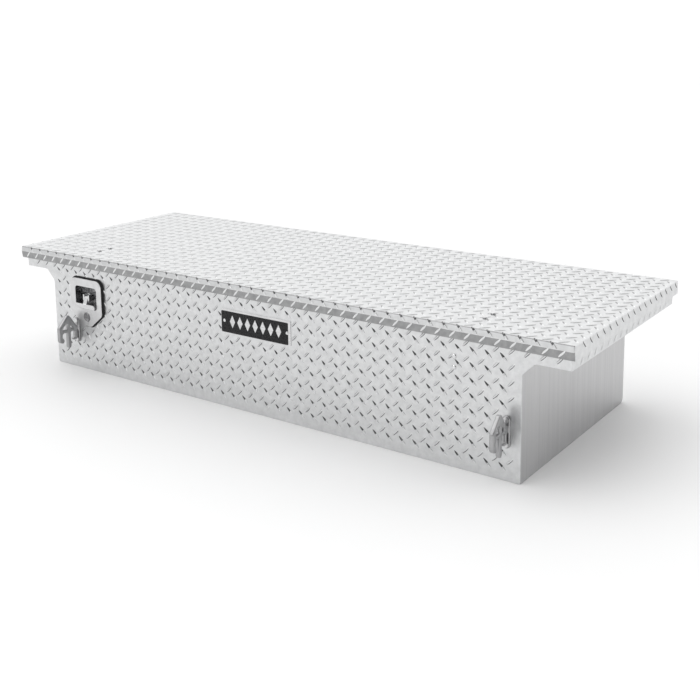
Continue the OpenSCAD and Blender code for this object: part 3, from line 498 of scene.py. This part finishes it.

# ---------- lock pan and handle ----------
# A pressed stainless pan with a satin rim and a glossy drawn finger pocket, bolted through the front sheet.
# The T-handle folds out of it on a cross pin in the spindle's two ears, and a key plug sits below. The
# pocket's drawn steel is coloured dark as painted shade from its walls, with drawn streaks, and the key plug
# shares it. The pan's outer wall is given the gasket's black rubber.

polished = metal(
    "polished_stainless", (0.66, 0.665, 0.67), (0.76, 0.765, 0.77), 0.16, 0.28,
    streak=(9, 1, 1), size=30, grain=500, bump=0.03,
)
brushed = metal(
    "brushed_stainless", (0.58, 0.58, 0.585), (0.72, 0.72, 0.725), 0.22, 0.36,
    streak=(1, 12, 12), size=20, grain=300, bump=0.04,
)
rim_steel = metal(
    "satin_pan_rim", (0.62, 0.62, 0.625), (0.70, 0.70, 0.705), 0.34, 0.44, size=60, grain=500, bump=0.04
)
plug_steel_and_pocket_shade = metal(
    "drawn_steel_pocket_shade", (0.20, 0.20, 0.205), (0.58, 0.58, 0.585), 0.14, 0.26,
    streak=(60, 1, 1), size=3.5, grain=40, bump=0.04,
)
pan = eased("lock_pan_pressed", "lock_pan", 0.0016, rim_steel, "box", segments=3, sharper_than=50)
pan.data.materials.append(plug_steel_and_pocket_shade)
pan.data.materials.append(rubber)
pocket_shade_slot, side_wall_slot = 1, 2
pocket_half, pocket_low, pocket_high = 0.0445, 0.186, 0.2525
rim_depth = 0.0018
# Painted shade: faces inside the pocket get the dark pocket steel, and faces set back from the rim outside
# the pocket get the rubber.
for face in pan.data.polygons:
    spot = face.center
    in_pocket = abs(spot.x - pan_middle) < pocket_half and pocket_low < spot.z < pocket_high
    if spot.y > pan_low.y + rim_depth:
        face.material_index = pocket_shade_slot if in_pocket else side_wall_slot
eased("spindle_turned", "lock_spindle", 0.0007, polished, "spindle", sharper_than=50)
eased("handle_pin_ground", "handle_pin", 0.0004, polished, "spindle", sharper_than=50)
eased("key_plug_turned", "key_plug", 0.0005, plug_steel_and_pocket_shade, "key", sharper_than=50)


def cast_copy(name, node, material, body, voxel, rounds):
    bm = merged_copy(node)
    mesh = bpy.data.meshes.new(name)
    bm.to_mesh(mesh)
    bm.free()
    casting = bpy.data.objects.new(name + "_rough", mesh)
    bpy.context.scene.collection.objects.link(casting)
    remesh = casting.modifiers.new("even_skin", "REMESH")
    remesh.mode = "VOXEL"
    remesh.voxel_size = voxel
    smooth = casting.modifiers.new("soft_edges", "SMOOTH")
    smooth.factor = 0.5
    smooth.iterations = rounds
    bpy.context.view_layer.update()
    result = bpy.data.meshes.new_from_object(casting.evaluated_get(bpy.context.evaluated_depsgraph_get()))
    bpy.data.objects.remove(casting)
    bm = bmesh.new()
    bm.from_mesh(result)
    return finished(name, bm, material, body, [node])


cast_copy("t_handle_cast", "t_handle", brushed, "handle", voxel=0.0006, rounds=6)

# ---------- tie-down hooks ----------
# Each is one steel casting, bead-blasted, with well-rounded edges. Two round-headed stainless bolts hold it
# through the front sheet.

cast_steel = metal(
    "blasted_cast_steel", (0.34, 0.34, 0.345), (0.44, 0.44, 0.445), 0.28, 0.4, size=40, grain=500
)
for side in ("left", "right"):
    cast_copy(
        "tie_down_" + side + "_cast", "tie_down_hook_" + side, cast_steel, "box",
        voxel=0.0009, rounds=60,
    )
eased("hook_bolts_turned", "hook_bolts", 0.0012, brushed, "box", segments=3, sharper_than=50)

# ---------- badge ----------
# A small aluminium plate, held to the front sheet by two rivets. Its middle is black enamel, and its artwork
# is a plain row of bare metal rhombs.

enamel, tree, shader, place = new_material("black_enamel")
shader.inputs["Specular IOR Level"].default_value = 0.2
speck = stretched_noise(tree, place, (1, 1, 1), 220)
enamel_black = ramp_between(tree, speck, (0.008, 0.008, 0.009), (0.02, 0.02, 0.021))
tree.links.new(enamel_black, shader.inputs["Base Color"])
tree.links.new(range_between(tree, speck, 0.22, 0.34), shader.inputs["Roughness"])
eased("badge_blank", "badge_plate", 0.0004, brushed, "box", sharper_than=50)
badge_x = (badge_low.x + badge_high.x) / 2
badge_z = (badge_low.z + badge_high.z) / 2
enamel_size = (0.2215, 0.0004, 0.0575)
enamel_shift_x, enamel_shift_z = -0.0035, -0.0023
enamel_corner = 0.003
panel = bmesh.new()
bmesh.ops.create_cube(panel, size=1)
bmesh.ops.scale(panel, verts=panel.verts, vec=enamel_size)
bmesh.ops.translate(
    panel, verts=panel.verts, vec=(badge_x + enamel_shift_x, badge_low.y, badge_z + enamel_shift_z)
)
corner_edges = [e for e in panel.edges if abs(e.verts[0].co.y - e.verts[1].co.y) > enamel_size[1] / 2]
bmesh.ops.bevel(
    panel, geom=corner_edges, offset=enamel_corner, segments=4, profile=0.5, affect="EDGES", material=-1
)
finished("badge_enamel", panel, enamel, "box")
rhomb_count = 7
rhomb_pitch = 0.0255
rhomb_size = (0.0125, 0.0003, 0.024)
rhomb_raise = 0.0002
rhombs = bmesh.new()
for i in range(rhomb_count):
    rhomb = bmesh.new()
    bmesh.ops.create_cube(rhomb, size=1)
    bmesh.ops.rotate(rhomb, verts=rhomb.verts, matrix=Matrix.Rotation(math.radians(45), 3, "Y"))
    bmesh.ops.scale(rhomb, verts=rhomb.verts, vec=rhomb_size)
    rhomb_x = badge_x + (i - (rhomb_count - 1) / 2) * rhomb_pitch
    bmesh.ops.translate(rhomb, verts=rhomb.verts, vec=(rhomb_x, badge_low.y - rhomb_raise, badge_z))
    add_bm(rhombs, rhomb)
finished("badge_rhombs", rhombs, brushed, "box", smooth=False)

# ---------- rivets and bolts ----------
# Stainless round heads: two beside the right latch, two in the badge, rows along the hinge, and the
# strikers' screws through the lid's top.

eased("striker_bolts_turned", "striker_bolts", 0.0009, brushed, "lid", segments=3, sharper_than=50)
coat(polished, "latch_rivets", "badge_rivets", "hinge_rivets_box", "hinge_rivets_lid")

# ---------- hinge ----------
# A brushed stainless piano hinge: two rolled leaves on one long pin, riveted to the rear rail and to the
# lid's rear skirt.

coat(brushed, "hinge_leaf_box", "hinge_leaf_lid", "hinge_pin")

# ---------- gas struts ----------
# Black-enamelled steel barrels and hard-chromed rods, one strut at each end of the tub. They hang on studs in
# zinc-plated brackets on the box and under the lid.

gloss_black = metal(
    "gloss_black_enamel", (0.012, 0.012, 0.013), (0.026, 0.026, 0.027), 0.12, 0.22, metallic=0.0
)
chrome = metal("hard_chrome", (0.78, 0.785, 0.79), (0.84, 0.845, 0.85), 0.04, 0.1, bump=0.01)
zinc = metal("bright_zinc", (0.56, 0.57, 0.57), (0.70, 0.705, 0.71), 0.26, 0.42, size=70, grain=500)
for side in ("left", "right"):
    coat(gloss_black, "strut_barrel_" + side)
    coat(chrome, "strut_rod_" + side)
    coat(zinc, "strut_foot_" + side, "strut_head_" + side)

# ---------- latches and their linkage ----------
# Zinc-plated pressings: a slotted base with claw and pawl at each end, worked from the lock by a long
# pull rod in two black nylon guides.

coat(
    zinc, "lock_backing_plate", "lock_nuts", "latch_base_left", "latch_base_right", "latch_pivots",
    "striker_left", "striker_right", "spindle_cam", "spindle_nut", "key_cam", "pull_rod", "pawl_left",
    "pawl_right", "claw_left", "claw_right",
)
nylon, tree, shader, place = new_material("black_nylon")
mottle = stretched_noise(tree, place, (1, 1, 1), 300)
nylon_black = ramp_between(tree, mottle, (0.02, 0.02, 0.02), (0.045, 0.045, 0.047))
tree.links.new(nylon_black, shader.inputs["Base Color"])
tree.links.new(range_between(tree, mottle, 0.4, 0.55), shader.inputs["Roughness"])
coat(nylon, "rod_guides")

# ---------- studio ----------
# A pale floor and a soft bright surround that is darker on the viewer's side. One very soft overhead light
# and one wide softbox in front light the box.

floor_half = 30
floor_gap = 0.0006
floor_bm = bmesh.new()
bmesh.ops.create_grid(floor_bm, x_segments=1, y_segments=1, size=floor_half)
floor_mesh = bpy.data.meshes.new("floor")
bmesh.ops.translate(floor_bm, verts=floor_bm.verts, vec=(0, 0, cad_low.z - floor_gap))
floor_bm.to_mesh(floor_mesh)
floor_bm.free()
floor = bpy.data.objects.new("floor", floor_mesh)
bpy.context.scene.collection.objects.link(floor)
pale, tree, shader, place = new_material("pale_floor")
shader.inputs["Base Color"].default_value = (0.92, 0.92, 0.92, 1)
shader.inputs["Roughness"].default_value = 0.7
floor_mesh.materials.append(pale)

world = bpy.data.worlds.new("studio")
bpy.context.scene.world = world
world.use_nodes = True
sky = world.node_tree
sky_place = sky.nodes.new("ShaderNodeTexCoord").outputs["Generated"]


def sky_band(direction, start, end, low, high):
    toward = sky.nodes.new("ShaderNodeVectorMath")
    toward.operation = "DOT_PRODUCT"
    toward.inputs[1].default_value = direction
    sky.links.new(sky_place, toward.inputs[0])
    return range_between(sky, toward.outputs["Value"], low, high, start, end)


shade = sky.nodes.new("ShaderNodeMath")
shade.operation = "MULTIPLY"
sky.links.new(sky_band((-0.57, 0.82, 0.0), -0.62, 0.05, 0.26, 1.2), shade.inputs[0])
sky.links.new(sky_band((-1.0, -0.1, 0.0), 0.84, 0.97, 1.0, 0.2), shade.inputs[1])
sky.links.new(shade.outputs["Value"], sky.nodes["Background"].inputs["Strength"])
sky.nodes["Background"].inputs["Color"].default_value = (1, 1, 1, 1)

overhead = bpy.data.lights.new("overhead", "SUN")
overhead.energy = 0.8
overhead.angle = math.radians(75)
lamp = bpy.data.objects.new("overhead", overhead)
lamp.rotation_euler = Vector((-0.35, -0.34, 0.87)).to_track_quat("Z", "Y").to_euler()
bpy.context.scene.collection.objects.link(lamp)

softbox = bpy.data.lights.new("softbox", "AREA")
softbox.shape = "RECTANGLE"
softbox.size = 3.0
softbox.size_y = 0.7
softbox.energy = 15
panel_lamp = bpy.data.objects.new("softbox", softbox)
panel_lamp.location = (-0.16, -3.32, 1.35)
panel_lamp.rotation_euler = Vector((-0.05, -0.945, 0.36)).to_track_quat("Z", "Y").to_euler()
bpy.context.scene.collection.objects.link(panel_lamp)

camera_spot = (1.730, -2.2925, 1.025)
yaw, pitch, roll = math.radians(35.40), math.radians(10.07), math.radians(-0.69)
ahead = Vector((-math.sin(yaw) * math.cos(pitch), math.cos(yaw) * math.cos(pitch), -math.sin(pitch)))
level = Vector((math.cos(yaw), math.sin(yaw), 0))
upright = level.cross(ahead)
right = math.cos(roll) * level + math.sin(roll) * upright
up = -math.sin(roll) * level + math.cos(roll) * upright
lens = bpy.data.cameras.new("camera")
lens.lens = 54.76
lens.sensor_width = 36
lens.shift_y = -0.2143
lens.clip_end = 100
camera = bpy.data.objects.new("camera", lens)
camera.matrix_world = Matrix.Translation(camera_spot) @ Matrix((right, up, -ahead)).transposed().to_4x4()
bpy.context.scene.collection.objects.link(camera)
bpy.context.scene.camera = camera
bpy.context.scene.view_settings.view_transform = "Standard"
